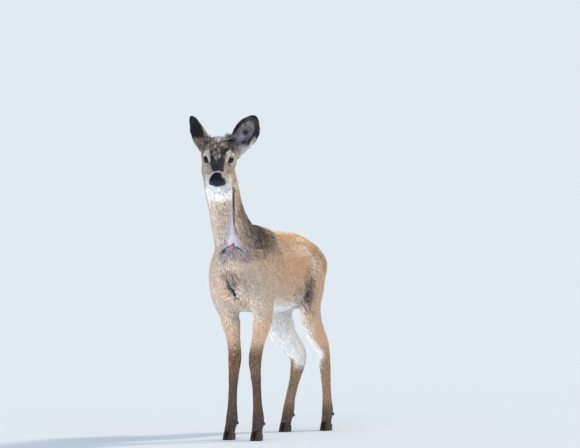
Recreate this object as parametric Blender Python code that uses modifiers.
"""A young white-tailed doe in her winter coat, life size, standing on four legs with her head turned to the left.

The flesh is lofted from rings of a few named sizes, melted into one closed form, and parted with thin cuts where
a person would name the parts of the body. Ears, eyes, tail, hooves and dewclaws are solids of their own that sit in
sockets or on flat seats. Everything is in metres: +Z is up, the deer faces -Y and her left side is +X. The origin is
on the ground, under the middle of the body's box.
"""

import math

import bmesh
import bpy
import numpy as np
from mathutils import Matrix, Vector
from mathutils.bvhtree import BVHTree

# ---------------------------------------------------------------- driving dimensions
GAP = 0.0006  # width of a thin cut between two parts of the body
CLEARANCE = 0.0004  # free space round a piece in its socket
BODY_VOXEL = 0.0045
HEAD_VOXEL = 0.0026
EAR_VOXEL = 0.0017
BODY_FACES = 2900
HEAD_FACES = 1540
EAR_FACES = 280
TAIL_FACES = 150
RING_POINTS = 28

HEAD_ORIGIN = Vector((0.004, -0.430, 1.154))  # halfway between the eyes
HEAD_YAW = math.radians(22.8)  # the face is turned this far to her left
HEAD_PITCH = math.radians(30)  # and the nose points this far down

EYE_RADIUS = 0.0172
EYE_SIDE = 0.0430
EYE_AHEAD = 0.002
EYE_UP = 0.000

# Trunk: (y, height of the back, height of the belly, half width, height of the widest place)
TRUNK = (
    (-0.378, 0.718, 0.633, 0.024, 0.673),
    (-0.355, 0.778, 0.583, 0.074, 0.676),
    (-0.305, 0.832, 0.553, 0.099, 0.673),
    (-0.220, 0.872, 0.530, 0.108, 0.668),
    (-0.120, 0.884, 0.520, 0.110, 0.663),
    (-0.030, 0.873, 0.513, 0.114, 0.658),
    (0.070, 0.854, 0.508, 0.122, 0.656),
    (0.170, 0.847, 0.510, 0.124, 0.660),
    (0.270, 0.838, 0.520, 0.117, 0.673),
    (0.350, 0.818, 0.546, 0.109, 0.688),
    (0.420, 0.789, 0.593, 0.099, 0.693),
    (0.472, 0.757, 0.638, 0.074, 0.695),
    (0.500, 0.730, 0.673, 0.034, 0.700),
)

# Neck: (x, y, z, half width, reach to the nape side, reach to the throat side)
NECK = (
    (0.000, -0.190, 0.698, 0.086, 0.110, 0.135),
    (0.000, -0.240, 0.788, 0.084, 0.122, 0.118),
    (-0.005, -0.285, 0.858, 0.077, 0.100, 0.098),
    (-0.011, -0.314, 0.920, 0.070, 0.080, 0.086),
    (-0.018, -0.332, 0.980, 0.068, 0.075, 0.080),
    (-0.031, -0.345, 1.068, 0.070, 0.072, 0.077),
    (-0.037, -0.356, 1.125, 0.065, 0.053, 0.068),
    (-0.030, -0.378, 1.160, 0.044, 0.030, 0.046),
)

# Head: (ahead, crown, underside, half width, level of the widest place), in the head's own frame
HEAD = (
    (-0.128, 0.006, -0.040, 0.026, -0.012),
    (-0.112, 0.027, -0.064, 0.050, -0.012),
    (-0.088, 0.043, -0.080, 0.067, -0.014),
    (-0.058, 0.050, -0.088, 0.0745, -0.020),
    (-0.028, 0.049, -0.085, 0.0670, -0.022),
    (0.002, 0.042, -0.074, 0.0475, -0.010),
    (0.032, 0.031, -0.064, 0.0375, -0.012),
    (0.062, 0.020, -0.057, 0.0345, -0.020),
    (0.094, 0.012, -0.055, 0.0335, -0.024),
    (0.123, 0.007, -0.053, 0.0325, -0.025),
    (0.145, 0.002, -0.048, 0.0275, -0.023),
    (0.158, -0.008, -0.034, 0.0160, -0.020),
)

# Masses on the skull, on both sides: (left of the middle, ahead of the eyes, above them), then three radii
PAIRED_MASSES = {
    "orbit": ((0.0375, -0.012, 0.006), (0.0195, 0.0245, 0.0225)),
    "cheek": ((0.0410, -0.048, -0.040), (0.0305, 0.0450, 0.0380)),
    "ear_base": ((0.0480, -0.086, -0.012), (0.0240, 0.0280, 0.0300)),
    "nostril_wing": ((0.0205, 0.134, -0.021), (0.0135, 0.0170, 0.0150)),
    "upper_lip": ((0.0215, 0.121, -0.036), (0.0155, 0.0270, 0.0125)),
}
MIDDLE_MASSES = {
    "nose_pad": ((0, 0.141, -0.018), (0.0220, 0.0160, 0.0200)),
    "chin": ((0, 0.122, -0.047), (0.0180, 0.0250, 0.0115)),
}

# Ear: (distance from its root, half width across the opening, depth of the cup)
EAR = (
    (0.000, 0.016, 0.020),
    (0.040, 0.030, 0.032),
    (0.075, 0.0435, 0.036),
    (0.108, 0.0500, 0.030),
    (0.136, 0.0480, 0.022),
    (0.163, 0.0400, 0.014),
    (0.184, 0.0275, 0.007),
    (0.196, 0.0165, 0.003),
    (0.203, 0.0050, 0.001),
)
EAR_COLUMNS = 19
EAR_THICKNESS = 0.0048
EAR_ROOT = ((0, -0.010, 0.012), (0.017, 0.015, 0.034))  # the solid root: its middle and radii, along the ear
EAR_SOCKET = 0.075  # the ear's hollow root is let into the head within this reach of its start
# Each ear: root (left of the face's middle, ahead of the eyes, above them), then how far its length leans to the
# left, ahead and up, and the turn of its opening to the left, all in the level frame of the face
LEFT_EAR = ((0.050, -0.080, -0.004), (0.470, -0.12, 0.875), math.radians(8))
RIGHT_EAR = ((-0.052, -0.066, 0.012), (-0.370, -0.52, 0.770), math.radians(-67))

# Legs: (x outwards, y, z, half width, reach forwards, reach backwards), from inside the body to the hoof
FORE_LEG = (
    (0.060, -0.100, 0.808, 0.026, 0.048, 0.048),
    (0.076, -0.150, 0.733, 0.038, 0.085, 0.075),
    (0.084, -0.205, 0.653, 0.042, 0.100, 0.095),
    (0.084, -0.195, 0.588, 0.042, 0.082, 0.088),
    (0.079, -0.165, 0.528, 0.0395, 0.058, 0.062),
    (0.069, -0.160, 0.468, 0.0345, 0.042, 0.046),
    (0.057, -0.165, 0.408, 0.0275, 0.033, 0.035),
    (0.047, -0.172, 0.353, 0.0275, 0.031, 0.031),
    (0.046, -0.176, 0.318, 0.0270, 0.031, 0.030),
    (0.049, -0.178, 0.278, 0.0225, 0.026, 0.027),
    (0.053, -0.177, 0.223, 0.0185, 0.021, 0.023),
    (0.057, -0.176, 0.148, 0.0188, 0.021, 0.0235),
    (0.060, -0.175, 0.082, 0.0245, 0.0255, 0.029),
    (0.061, -0.186, 0.051, 0.0225, 0.022, 0.024),
    (0.062, -0.197, 0.024, 0.0245, 0.026, 0.026),
)
THIGH = (
    (0.056, 0.360, 0.778, 0.030, 0.070, 0.060),
    (0.070, 0.345, 0.708, 0.042, 0.105, 0.105),
    (0.077, 0.315, 0.628, 0.044, 0.125, 0.120),
    (0.079, 0.290, 0.553, 0.042, 0.112, 0.100),
)
HIND_LEG_LEFT = THIGH + (
    (0.078, 0.298, 0.493, 0.037, 0.094, 0.112),
    (0.072, 0.348, 0.438, 0.031, 0.078, 0.076),
    (0.066, 0.408, 0.390, 0.0260, 0.058, 0.060),
    (0.060, 0.456, 0.350, 0.0250, 0.047, 0.064),
    (0.058, 0.474, 0.311, 0.0250, 0.041, 0.052),
    (0.059, 0.484, 0.263, 0.0225, 0.033, 0.037),
    (0.060, 0.492, 0.203, 0.0195, 0.025, 0.027),
    (0.062, 0.497, 0.138, 0.0190, 0.0235, 0.0255),
    (0.063, 0.500, 0.081, 0.0240, 0.0255, 0.0290),
    (0.064, 0.490, 0.051, 0.0220, 0.022, 0.024),
    (0.065, 0.479, 0.024, 0.0240, 0.026, 0.026),
)
HIND_LEG_RIGHT = THIGH + (
    (0.078, 0.285, 0.490, 0.037, 0.102, 0.112),
    (0.068, 0.320, 0.430, 0.031, 0.078, 0.088),
    (0.058, 0.372, 0.376, 0.0260, 0.059, 0.064),
    (0.050, 0.424, 0.333, 0.0250, 0.046, 0.058),
    (0.048, 0.443, 0.301, 0.0250, 0.044, 0.052),
    (0.050, 0.436, 0.260, 0.0225, 0.036, 0.037),
    (0.052, 0.411, 0.204, 0.0195, 0.025, 0.027),
    (0.055, 0.381, 0.138, 0.0190, 0.0235, 0.0255),
    (0.057, 0.364, 0.081, 0.0240, 0.0255, 0.0290),
    (0.058, 0.350, 0.051, 0.0220, 0.022, 0.024),
    (0.059, 0.338, 0.024, 0.0240, 0.026, 0.026),
)
HIND_TOE_OUT = math.radians(14)

TAIL = (
    (0.000, 0.440, 0.772, 0.022, 0.016, 0.016),
    (0.000, 0.477, 0.764, 0.028, 0.015, 0.017),
    (0.000, 0.502, 0.733, 0.036, 0.012, 0.015),
    (0.000, 0.511, 0.683, 0.041, 0.011, 0.013),
    (0.000, 0.510, 0.628, 0.037, 0.010, 0.011),
    (0.000, 0.504, 0.580, 0.024, 0.008, 0.009),
    (0.000, 0.499, 0.556, 0.008, 0.004, 0.005),
)

HAMSTRING = ((0.053, 0.376, 0.615), (0.040, 0.078, 0.128))  # the muscle behind each thigh: middle and radii
HAMSTRING_LEAN = math.radians(-14)

HOOF_LENGTH = 0.060
CLAW_WIDTH = 0.0225
CLAW_SPLIT = 0.0022
CLAW_POINTS = 10
# Claw: (height, size there as a share of the sole, how far back it lies)
CLAW_LEVELS = ((0.0, 1.0, 0.0), (0.010, 0.985, 0.002), (0.030, 0.90, 0.0075), (0.052, 0.80, 0.0145))
CLAW_POINTEDNESS = 0.42
CLAW_TIPS_IN = 0.0035
CLAW_BEHIND = 0.004  # the middle of the sole lies this far ahead of the leg's last point
CORONET_HEIGHT = 0.034
CORONET_SLOPE = math.radians(17)
DEWCLAW_RADII = (0.0068, 0.0062, 0.0095)
DEWCLAW_PLACE = (0.0120, 0.0290, 0.068)  # to its side of the leg, behind the fetlock, and its height
DEWCLAW_LEAN = math.radians(32)
FETLOCK_HEIGHT = 0.080

# name: colour, roughness
FINISHES = {
    "winter_coat": ((0.30, 0.20, 0.13), 0.9),
    "ear_coat": ((0.14, 0.11, 0.09), 0.9),
    "eye": ((0.010, 0.008, 0.007), 0.05),
    "nose_leather": ((0.020, 0.018, 0.018), 0.35),
    "horn": ((0.025, 0.020, 0.017), 0.45),
}


# ---------------------------------------------------------------- small tools
def material(name):
    """The named finish as a Principled material."""
    found = bpy.data.materials.get(name)
    if found:
        return found
    colour, roughness = FINISHES[name]
    made = bpy.data.materials.new(name)
    made.use_nodes = True
    shader = made.node_tree.nodes["Principled BSDF"]
    shader.inputs["Base Color"].default_value = (*colour, 1)
    shader.inputs["Roughness"].default_value = roughness
    made.diffuse_color = (*colour, 1)
    return made


def smooth_rows(rows, per_span=6):
    """Rows of numbers joined by a smooth spline that passes through every row."""
    rows = np.array(rows, float)
    before, after = 2 * rows[0] - rows[1], 2 * rows[-1] - rows[-2]
    padded = np.vstack([before, rows, after])
    made = []
    for k in range(len(rows) - 1):
        a, b, c, d = padded[k : k + 4]
        for t in np.linspace(0, 1, per_span, endpoint=False):
            bend = (2 * a - 5 * b + 4 * c - d) * t**2 + (3 * b - 3 * c + d - a) * t**3
            made.append(b + 0.5 * ((c - a) * t + bend))
    made.append(rows[-1])
    return np.array(made)


def ring(centre, side, up, half_width, rise, drop, upper=2.0, lower=2.0):
    """A closed ring of points: an ellipse whose upper and lower halves have their own reach and squareness."""
    points = []
    for k in range(RING_POINTS):
        angle = math.tau * k / RING_POINTS
        c, s = math.cos(angle), math.sin(angle)
        power = 2 / (upper if s > 0 else lower)
        across = math.copysign(abs(c) ** power, c) * half_width
        along = math.copysign(abs(s) ** power, s) * (rise if s > 0 else drop)
        points.append(centre + side * across + up * along)
    return points


def new_object(name, mesh, matter="winter_coat"):
    obj = bpy.data.objects.new(name, mesh)
    mesh.materials.clear()
    mesh.materials.append(material(matter))
    bpy.context.scene.collection.objects.link(obj)
    return obj


def loft(name, rings):
    """A closed solid through the rings, with a flat cap at each end."""
    bm = bmesh.new()
    rows = [[bm.verts.new(p) for p in points] for points in rings]
    for low, high in zip(rows, rows[1:]):
        for k in range(len(low)):
            after = (k + 1) % len(low)
            bm.faces.new((low[k], low[after], high[after], high[k]))
    bm.faces.new(rows[0][::-1])
    bm.faces.new(rows[-1])
    bmesh.ops.recalc_face_normals(bm, faces=bm.faces)
    mesh = bpy.data.meshes.new(name)
    bm.to_mesh(mesh)
    bm.free()
    return new_object(name, mesh)


def limb(name, rows, side=1, toe_out=0.0):
    """A loft along a path, each ring square to the path: rows of x, y, z, half width, and the reach either way."""
    rows = smooth_rows(rows)
    across = Vector((math.cos(toe_out), side * math.sin(toe_out), 0))
    path = [Vector((side * r[0], r[1], r[2])) for r in rows]
    rings = []
    for k, (point, row) in enumerate(zip(path, rows)):
        tangent = (path[min(k + 1, len(path) - 1)] - path[max(k - 1, 0)]).normalized()
        forward = tangent.cross(across).normalized()
        rings.append(ring(point, forward.cross(tangent), forward, *row[3:6]))
    return loft(name, rings)


def ellipsoid(name, matrix, radii, segments=24):
    """A sphere stretched to three radii and placed by a matrix."""
    bm = bmesh.new()
    bmesh.ops.create_uvsphere(bm, u_segments=segments, v_segments=segments // 2, radius=1)
    bm.transform(matrix @ Matrix.Diagonal((*radii, 1)))
    mesh = bpy.data.meshes.new(name)
    bm.to_mesh(mesh)
    bm.free()
    return new_object(name, mesh)


def evaluated_mesh(obj):
    """The object's mesh with its modifiers applied, as a new mesh."""
    graph = bpy.context.evaluated_depsgraph_get()
    return bpy.data.meshes.new_from_object(obj.evaluated_get(graph))


def bake_modifiers(obj):
    """Puts the object's modifiers into its mesh."""
    mesh = evaluated_mesh(obj)
    obj.modifiers.clear()
    obj.data = mesh
    return obj


def joined(name, objects):
    """One object that holds the meshes of all of them, which it removes."""
    bm = bmesh.new()
    for obj in objects:
        bm.from_mesh(obj.data)
        bpy.data.objects.remove(obj)
    mesh = bpy.data.meshes.new(name)
    bm.to_mesh(mesh)
    bm.free()
    return new_object(name, mesh)


def melt(obj, voxel, smoothing, faces):
    """Overlapping forms become one skin, which is then smoothed and thinned to about this many triangles."""
    remesh = obj.modifiers.new("Melt", "REMESH")
    remesh.mode = "VOXEL"
    remesh.voxel_size = voxel
    soften = obj.modifiers.new("Soften", "SMOOTH")
    soften.factor = 0.5
    soften.iterations = smoothing
    bake_modifiers(obj)
    thin = obj.modifiers.new("Thin", "DECIMATE")
    thin.ratio = faces / (2 * len(obj.data.polygons))
    thin.use_collapse_triangulate = True
    return bake_modifiers(obj)


def boolean(obj, other, operation):
    change = obj.modifiers.new("Boolean", "BOOLEAN")
    change.operation = operation
    change.object = other
    change.solver = "EXACT"
    bake_modifiers(obj)
    return obj


def swollen(obj, amount):
    """A copy of the object grown by this amount along its normals, to cut its socket."""
    mesh = obj.data.copy()
    mesh.transform(obj.matrix_world)
    bm = bmesh.new()
    bm.from_mesh(mesh)
    bm.normal_update()
    moves = [v.normal * amount * v.calc_shell_factor() for v in bm.verts]
    for vert, move in zip(bm.verts, moves):
        vert.co += move
    bm.to_mesh(mesh)
    bm.free()
    return new_object(obj.name + "_socket", mesh)


def hull_near(obj, point, reach):
    """The convex hull of the part of an object that lies within reach of a point."""
    bm = bmesh.new()
    for vert in obj.data.vertices:
        if (vert.co - point).length < reach:
            bm.verts.new(vert.co)
    hull = bmesh.ops.convex_hull(bm, input=bm.verts)
    inside = [v for v in hull["geom_interior"] if isinstance(v, bmesh.types.BMVert)]
    bmesh.ops.delete(bm, geom=inside, context="VERTS")
    bmesh.ops.recalc_face_normals(bm, faces=bm.faces)
    mesh = bpy.data.meshes.new(obj.name + "_hull")
    bm.to_mesh(mesh)
    bm.free()
    return new_object(obj.name + "_hull", mesh)


def cut_socket(obj, piece):
    """Takes the space of the piece, and a little air round it, out of the object."""
    cutter = swollen(piece, CLEARANCE)
    boolean(obj, cutter, "DIFFERENCE")
    bpy.data.objects.remove(cutter)
    return obj


def clipped(obj, point, normal):
    """Takes away all of a closed solid on the normal's side of a plane, and closes the cut."""
    bm = bmesh.new()
    bm.from_mesh(obj.data)
    geometry = bm.verts[:] + bm.edges[:] + bm.faces[:]
    cut = bmesh.ops.bisect_plane(
        bm, geom=geometry, plane_co=point, plane_no=normal, clear_outer=True, dist=1e-6
    )
    edges = [e for e in cut["geom_cut"] if isinstance(e, bmesh.types.BMEdge)]
    bmesh.ops.contextual_create(bm, geom=edges)
    bmesh.ops.triangulate(bm, faces=bm.faces)
    bmesh.ops.recalc_face_normals(bm, faces=bm.faces)
    bm.to_mesh(obj.data)
    bm.free()
    return obj


def slab(name, centre, normal, reach):
    """A plate as thick as a cut, square to the normal, with its two reaches across the body and along it."""
    square = Vector(normal).normalized()
    across = (Vector((1, 0, 0)) - square * square.x).normalized()
    turn = Matrix((across, square.cross(across), square)).transposed().to_4x4()
    bm = bmesh.new()
    bmesh.ops.create_cube(bm, size=1)
    bm.transform(Matrix.Translation(centre) @ turn @ Matrix.Diagonal((*reach, GAP, 1)))
    mesh = bpy.data.meshes.new(name)
    bm.to_mesh(mesh)
    bm.free()
    return new_object(name, mesh)


def loose_parts(obj):
    """The separate closed bodies of a mesh, each as a list of face indices."""
    bm = bmesh.new()
    bm.from_mesh(obj.data)
    seen, parts = set(), []
    for start in bm.faces:
        if start.index in seen:
            continue
        part, todo = [], [start]
        seen.add(start.index)
        while todo:
            face = todo.pop()
            part.append(face.index)
            for edge in face.edges:
                for other in edge.link_faces:
                    if other.index not in seen:
                        seen.add(other.index)
                        todo.append(other)
        parts.append(part)
    bm.free()
    return parts


def named_parts(obj, seeds):
    """Splits an object into its loose bodies. Each seed, a point inside a body, gives that body its name."""
    mesh = obj.data
    bodies = []
    for part in loose_parts(obj):
        faces = [tuple(mesh.polygons[k].vertices) for k in part]
        bodies.append((faces, BVHTree.FromPolygons([v.co for v in mesh.vertices], faces)))
    made = {}
    for name, seed in seeds.items():
        near = min(range(len(bodies)), key=lambda k: bodies[k][1].find_nearest(seed)[3])
        bm = bmesh.new()
        verts = {}
        for face in bodies[near][0]:
            corners = []
            for index in face:
                if index not in verts:
                    verts[index] = bm.verts.new(mesh.vertices[index].co)
                corners.append(verts[index])
            bm.faces.new(corners)
        bmesh.ops.triangulate(bm, faces=bm.faces)
        part = bpy.data.meshes.new(name)
        bm.to_mesh(part)
        bm.free()
        made[name] = new_object(name, part)
    bpy.data.objects.remove(obj)
    return made


# ---------------------------------------------------------------- the body
# The head's own frame, from the point between the eyes: x to her left, y backwards, z to the crown.
FACE = Matrix.Translation(HEAD_ORIGIN) @ Matrix.Rotation(HEAD_YAW, 4, "Z") @ Matrix.Rotation(HEAD_PITCH, 4, "X")


def on_head(side, ahead, up):
    """A point given as how far it is to the left of the head's middle, ahead of the eyes and above them."""
    return FACE @ Vector((side, -ahead, up))


def on_level(side, ahead, up):
    """A point by the same three distances, but level: the head's turn is kept and its nod is left out."""
    level = Matrix.Translation(HEAD_ORIGIN) @ Matrix.Rotation(HEAD_YAW, 4, "Z")
    return level @ Vector((side, -ahead, up))


def placed_on_head(side, ahead, up):
    """The head's own frame, moved to that point."""
    return FACE @ Matrix.Translation((side, -ahead, up))


def trunk_form():
    rings = []
    for y, back, belly, half, level in smooth_rows(TRUNK):
        centre = Vector((0, y, level))
        rings.append(
            ring(centre, Vector((1, 0, 0)), Vector((0, 0, 1)), half, back - level, level - belly, 2.0, 2.2)
        )
    return loft("trunk_form", rings)


def head_forms():
    """The skull with its muzzle, and the masses that shape it: orbits, cheeks, nose and lips."""
    rings = []
    left, crown = FACE.to_3x3().col[0], FACE.to_3x3().col[2]
    for ahead, top, under, half, level in smooth_rows(HEAD):
        centre = on_head(0, ahead, level)
        rings.append(ring(centre, left, crown, half, top - level, level - under, 2.2, 1.9))
    forms = [loft("skull_form", rings)]
    for side in (-1, 1):
        for (across, ahead, up), radii in PAIRED_MASSES.values():
            forms.append(ellipsoid("mass", placed_on_head(side * across, ahead, up), radii))
    for centre, radii in MIDDLE_MASSES.values():
        forms.append(ellipsoid("mass", placed_on_head(*centre), radii))
    return forms


LEGS = {
    "fore_left": (FORE_LEG, 1, 0.0),
    "fore_right": (FORE_LEG, -1, 0.0),
    "hind_left": (HIND_LEG_LEFT, 1, HIND_TOE_OUT),
    "hind_right": (HIND_LEG_RIGHT, -1, HIND_TOE_OUT),
}


def leg_point(leg, z):
    """The point on a leg's path at this height."""
    rows, side = LEGS[leg][:2]
    fine = smooth_rows(rows)
    low = [r for r in fine if r[2] < 0.62]
    row = min(low, key=lambda r: abs(r[2] - z))
    return Vector((side * row[0], row[1], row[2]))


def coronet(leg):
    """A point of the plane where hair ends and horn begins, and that plane's normal, pointing up the leg."""
    foot = leg_point(leg, 0.0)
    point = Vector((foot.x, foot.y, CORONET_HEIGHT))
    normal = Vector((0, math.sin(CORONET_SLOPE), math.cos(CORONET_SLOPE)))
    return point, normal


def head_plane(ahead, up, tilt):
    """A point of a plane across the head, and its normal, which leans up by the tilt from straight ahead."""
    return on_head(0, ahead, up), FACE.to_3x3() @ Vector((0, -math.cos(tilt), math.sin(tilt)))


NECK_CUT = head_plane(-0.058, -0.090, math.radians(72))
NOSE_CUT = head_plane(0.1185, 0.0065, math.radians(37))


# Cuts across a leg: (the part below the cut, height of the cut, its slope, width, length, height of the part's middle)
FORE_CUTS = (
    ("forearm", 0.490, -0.10, 0.155, 0.20, 0.400),
    ("cannon", 0.262, 0.0, 0.12, 0.12, 0.190),
    ("pastern", 0.112, 0.0, 0.10, 0.10, 0.070),
)
HIND_CUTS = (
    ("thigh", 0.513, -0.45, 0.155, 0.36, 0.465),
    ("gaskin", 0.430, -0.62, 0.13, 0.26, 0.375),
    ("cannon", 0.268, 0.0, 0.12, 0.14, 0.190),
    ("pastern", 0.116, 0.0, 0.10, 0.10, 0.070),
)


def body_cuts():
    """The plates that part the body, and a point inside each part that they leave."""
    plates = [
        slab("cut", Vector((0, -0.235, 0.808)), Vector((0, -0.72, 0.70)), (0.40, 0.42)),
        slab("cut", Vector((0, -0.045, 0.690)), Vector((0, 1, 0)), (0.40, 0.50)),
        slab("cut", Vector((0, 0.225, 0.690)), Vector((0, 1, 0)), (0.40, 0.50)),
    ]
    seeds = {
        "neck": Vector((-0.016, -0.325, 0.955)),
        "forequarters": Vector((0, -0.140, 0.700)),
        "barrel": Vector((0, 0.100, 0.680)),
        "haunches": Vector((0, 0.360, 0.740)),
    }
    for leg in LEGS:
        side = LEGS[leg][1]
        for part, cut, slope, width, length, middle in FORE_CUTS if leg.startswith("fore") else HIND_CUTS:
            centre = leg_point(leg, cut)
            centre.x = side * max(abs(centre.x), width / 2 + GAP) if part in ("forearm", "thigh") else centre.x
            plates.append(slab("cut", centre, Vector((0, slope, 1)), (width, length)))
            seeds[f"{leg}_{part}"] = leg_point(leg, middle)
        point, normal = coronet(leg)
        plates.append(slab("cut", point + normal * (GAP / 2), normal, (0.09, 0.09)))
    return plates, seeds


def make_body():
    forms = [trunk_form(), limb("neck_form", NECK)]
    for leg, (rows, side, toe_out) in LEGS.items():
        forms.append(limb(leg + "_form", rows, side, toe_out))
    (across, back, up), radii = HAMSTRING
    for side in (-1, 1):
        place = Matrix.Translation((side * across, back, up)) @ Matrix.Rotation(HAMSTRING_LEAN, 4, "X")
        forms.append(ellipsoid("mass", place, radii))
    body = melt(joined("body", forms), BODY_VOXEL, 14, BODY_FACES)
    clipped(body, NECK_CUT[0] - NECK_CUT[1] * (GAP / 2), NECK_CUT[1])
    plates, seeds = body_cuts()
    for plate in plates:
        boolean(body, plate, "DIFFERENCE")
        bpy.data.objects.remove(plate)
    return named_parts(body, seeds)


def make_head():
    forms = head_forms() + [limb("nape_form", NECK)]
    head = melt(joined("head", forms), HEAD_VOXEL, 6, HEAD_FACES)
    head.name = "head"
    clipped(head, NECK_CUT[0] + NECK_CUT[1] * (GAP / 2), -NECK_CUT[1])
    nose = new_object("nose", head.data.copy(), "nose_leather")
    clipped(nose, NOSE_CUT[0] + NOSE_CUT[1] * (GAP / 2), -NOSE_CUT[1])
    clipped(head, NOSE_CUT[0] - NOSE_CUT[1] * (GAP / 2), NOSE_CUT[1])
    return {"head": head, "nose": nose}


def make_eye(side):
    name = "eye_left" if side > 0 else "eye_right"
    eye = ellipsoid(name, placed_on_head(side * EYE_SIDE, EYE_AHEAD, EYE_UP), [EYE_RADIUS] * 3, 14)
    eye.data.materials[0] = material("eye")
    return eye


def make_ear(name, root, lean, turn):
    """A leaf cupped along its length: a narrow tube at its root, open and shallow towards its tip."""
    length = (on_level(*lean) - HEAD_ORIGIN).normalized()
    opening = on_level(math.sin(turn), math.cos(turn), 0) - HEAD_ORIGIN
    opening = (opening - length * opening.dot(length)).normalized()
    frame = Matrix((opening.cross(length), opening, length)).transposed().to_4x4()
    frame.translation = on_level(*root)
    bm = bmesh.new()
    grid = []
    for along, half, depth in smooth_rows(EAR):
        line = []
        for j in range(EAR_COLUMNS):
            share = math.sin(math.pi * (j / (EAR_COLUMNS - 1) - 0.5))
            place = Vector((half * share, -depth * (1 - abs(share) ** 2.2), along))
            line.append(bm.verts.new(frame @ place))
        grid.append(line)
    for low, high in zip(grid, grid[1:]):
        for k in range(EAR_COLUMNS - 1):
            bm.faces.new((low[k], low[k + 1], high[k + 1], high[k]))
    mesh = bpy.data.meshes.new(name)
    bm.to_mesh(mesh)
    bm.free()
    shell = new_object(name, mesh)
    wall = shell.modifiers.new("Wall", "SOLIDIFY")
    wall.thickness = EAR_THICKNESS
    wall.offset = 0
    bake_modifiers(shell)
    plug = ellipsoid("root", frame @ Matrix.Translation(EAR_ROOT[0]), EAR_ROOT[1])
    ear = melt(joined(name, [shell, plug]), EAR_VOXEL, 3, EAR_FACES)
    ear.name = name
    ear.data.materials[0] = material("ear_coat")
    return ear


def make_claw(name, leg, side):
    """One toe of a hoof: a wedge with a flat sole, a pointed front and a rounded heel."""
    foot = leg_point(leg, 0.0)
    rings = []
    for height, scale, slide in CLAW_LEVELS:
        points = []
        for k in range(CLAW_POINTS):
            angle = math.tau * k / CLAW_POINTS
            along, across = math.cos(angle), math.sin(angle)
            half = CLAW_WIDTH / 2 * scale
            taper = 1 - CLAW_POINTEDNESS * max(0, along) ** 1.6
            x = side * (CLAW_SPLIT / 2 + CLAW_WIDTH / 2) + math.copysign(abs(across) ** 0.75, across) * half * taper
            x -= side * CLAW_TIPS_IN * max(0, along) ** 2
            y = -math.copysign(abs(along) ** 0.85, along) * HOOF_LENGTH / 2 * scale + slide - CLAW_BEHIND
            points.append(Vector((foot.x + x, foot.y + y, height)))
        rings.append(points)
    claw = loft(name, rings)
    point, normal = coronet(leg)
    clipped(claw, point, normal)
    claw.name = name
    claw.data.materials[0] = material("horn")
    return claw


def make_dewclaw(name, leg, side):
    """A small horn cone behind the fetlock."""
    across, behind, height = DEWCLAW_PLACE
    fetlock = leg_point(leg, FETLOCK_HEIGHT)
    place = Matrix.Translation((fetlock.x + side * across, fetlock.y + behind, height))
    claw = ellipsoid(name, place @ Matrix.Rotation(DEWCLAW_LEAN, 4, "X"), DEWCLAW_RADII, 8)
    claw.data.materials[0] = material("horn")
    return claw


def centre(objects):
    """Moves everything so that the origin lies on the ground under the middle of the whole box."""
    points = np.array([tuple(v.co) for obj in objects for v in obj.data.vertices])
    middle = (points.min(axis=0) + points.max(axis=0)) / 2
    for obj in objects:
        obj.data.transform(Matrix.Translation((-middle[0], -middle[1], 0)))
    print("moved by", -middle[:2])


def build():
    for old in list(bpy.data.objects):
        bpy.data.objects.remove(old)
    nodes = make_body()
    nodes.update(make_head())

    for side in (-1, 1):
        eye = make_eye(side)
        nodes[eye.name] = eye
        cut_socket(nodes["head"], eye)

    for name, place in (("ear_left", LEFT_EAR), ("ear_right", RIGHT_EAR)):
        nodes[name] = make_ear(name, *place)
        root = hull_near(nodes[name], on_level(*place[0]), EAR_SOCKET)
        cut_socket(nodes["head"], root)
        bpy.data.objects.remove(root)
        cut_socket(nodes["head"], nodes[name])

    tail = melt(limb("tail", TAIL), 0.003, 4, TAIL_FACES)
    nodes["tail"] = tail
    cut_socket(nodes["haunches"], tail)

    for leg in LEGS:
        for side, which in ((-1, "right"), (1, "left")):
            claw = make_claw(f"{leg}_hoof_{which}", leg, side)
            nodes[claw.name] = claw
            dewclaw = make_dewclaw(f"{leg}_dewclaw_{which}", leg, side)
            nodes[dewclaw.name] = dewclaw
            cut_socket(nodes[f"{leg}_pastern"], dewclaw)

    centre(list(nodes.values()))
    herd = bpy.data.collections.new("white_tailed_deer")
    bpy.context.scene.collection.children.link(herd)
    for obj in nodes.values():
        bpy.context.scene.collection.objects.unlink(obj)
        herd.objects.link(obj)
        obj.data.shade_smooth()
        print(obj.name, len(obj.data.polygons))


build()
